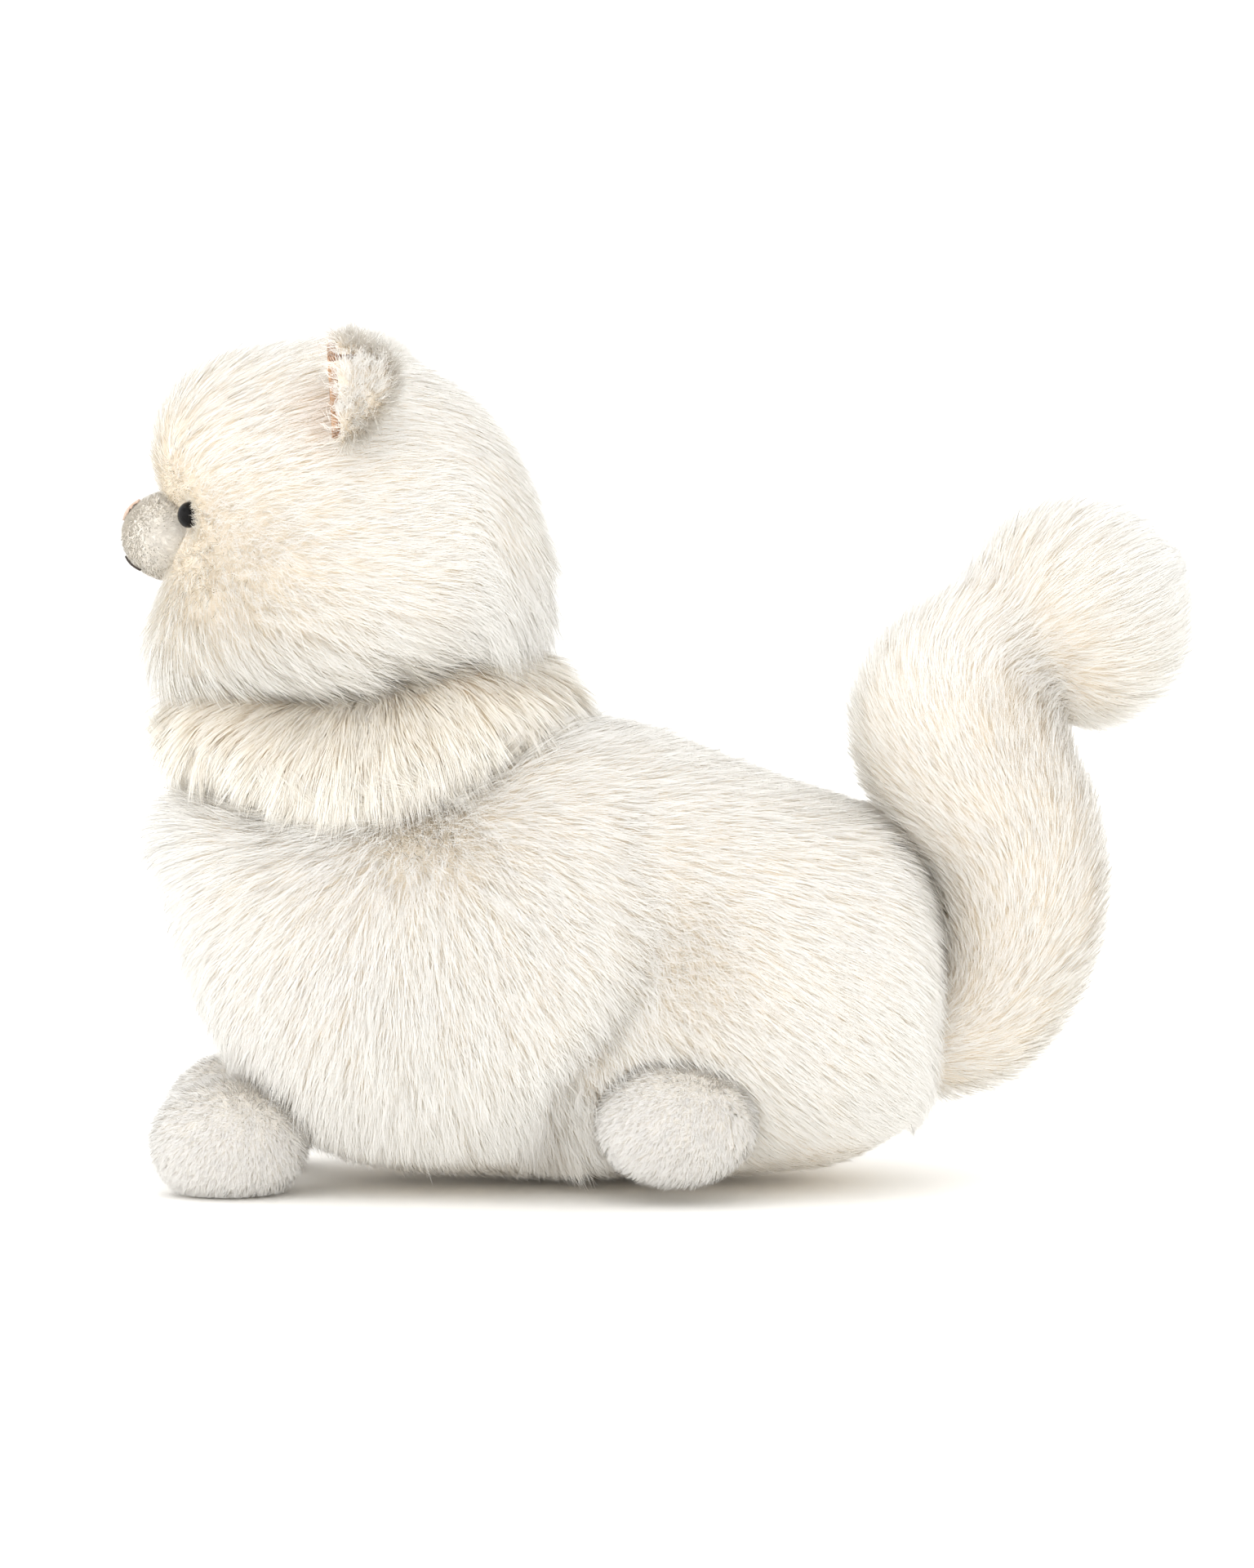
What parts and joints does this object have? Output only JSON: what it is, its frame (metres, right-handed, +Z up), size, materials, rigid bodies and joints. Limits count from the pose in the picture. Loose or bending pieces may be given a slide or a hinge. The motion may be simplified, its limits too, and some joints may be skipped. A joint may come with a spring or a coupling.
{
  "type": "plush cat",
  "caption": "Stuffed long-haired cat lying with its head up, with a ruff, short-pile paws, safety eyes and a fat curled tail; head, ears and tail flex on sewn joints.",
  "frame": {"origin": "middle of the bounding box's footprint, on the surface the cat lies on", "axes": "+Z up, the cat faces -Y, +X to the cat's left"},
  "size_m": [0.1432, 0.2989, 0.2391],
  "materials": {
    "long_cream_fur": "long soft pile",
    "warm_cream_fur": "longest pile, lying in locks",
    "short_pile_white": "short dense pile",
    "polyester_fibre": "loose fibre filling",
    "bean_cloth": "plain woven bag filled with beans",
    "peach_plush": "short plush",
    "pink_thread": "satin stitch",
    "dark_thread": "thread",
    "washer_plastic": "moulded",
    "eye_plastic": "polished black"
  },
  "bodies": {
    "body": {"body_left_chest_panel": "long_cream_fur", "body_right_chest_panel": "long_cream_fur", "body_left_haunch_panel": "long_cream_fur", "body_right_haunch_panel": "long_cream_fur", "belly_panel": "warm_cream_fur", "body_stuffing": "polyester_fibre", "bean_bag": "bean_cloth", "ruff_left": "warm_cream_fur", "ruff_right": "warm_cream_fur", "front_left_paw_cover": "short_pile_white", "front_left_paw_stuffing": "polyester_fibre", "front_right_paw_cover": "short_pile_white", "front_right_paw_stuffing": "polyester_fibre", "hind_left_foot_cover": "short_pile_white", "hind_left_foot_stuffing": "polyester_fibre", "hind_right_foot_cover": "short_pile_white", "hind_right_foot_stuffing": "polyester_fibre"},
    "neck": {"neck_cover": "short_pile_white", "neck_stuffing": "polyester_fibre"},
    "head": {"head_left_panel": "long_cream_fur", "head_right_panel": "long_cream_fur", "head_stuffing": "polyester_fibre", "muzzle_cover": "short_pile_white", "muzzle_stuffing": "polyester_fibre", "nose_embroidery": "pink_thread", "mouth_stitch": "dark_thread", "eye_left": "eye_plastic", "eye_right": "eye_plastic", "eye_washer_left": "washer_plastic", "eye_washer_right": "washer_plastic"},
    "ear_left": {"ear_left_back": "long_cream_fur", "ear_left_lining": "peach_plush"},
    "ear_right": {"ear_right_back": "long_cream_fur", "ear_right_lining": "peach_plush"},
    "tail": {"tail_left_panel": "long_cream_fur", "tail_right_panel": "long_cream_fur", "tail_stuffing": "polyester_fibre"}
  },
  "joints": [
    {"name": "head_turn", "type": "hinge", "parent": "body", "child": "neck", "pos_m": [0, -0.078, 0.105], "axis": [0, 0, 1], "range_deg": [-25, 25], "stiffness_Nm_per_rad": 0.6},
    {"name": "head_nod", "type": "hinge", "parent": "neck", "child": "head", "pos_m": [0, -0.078, 0.105], "axis": [1, 0, 0], "range_deg": [-12, 12], "stiffness_Nm_per_rad": 1.5},
    {"name": "ear_left_fold", "type": "hinge", "parent": "head", "child": "ear_left", "pos_m": [0.0513, -0.086, 0.2189], "axis": [0.6712, 0.0698, -0.738], "range_deg": [-20, 12], "stiffness_Nm_per_rad": 0.02},
    {"name": "ear_right_fold", "type": "hinge", "parent": "head", "child": "ear_right", "pos_m": [-0.0513, -0.086, 0.2189], "axis": [0.6712, -0.0698, 0.738], "range_deg": [-20, 12], "stiffness_Nm_per_rad": 0.02},
    {"name": "tail_swing", "type": "hinge", "parent": "body", "child": "tail", "pos_m": [0, 0.099, 0.06], "axis": [0, 0, 1], "range_deg": [-20, 20], "stiffness_Nm_per_rad": 0.5}
  ]
}
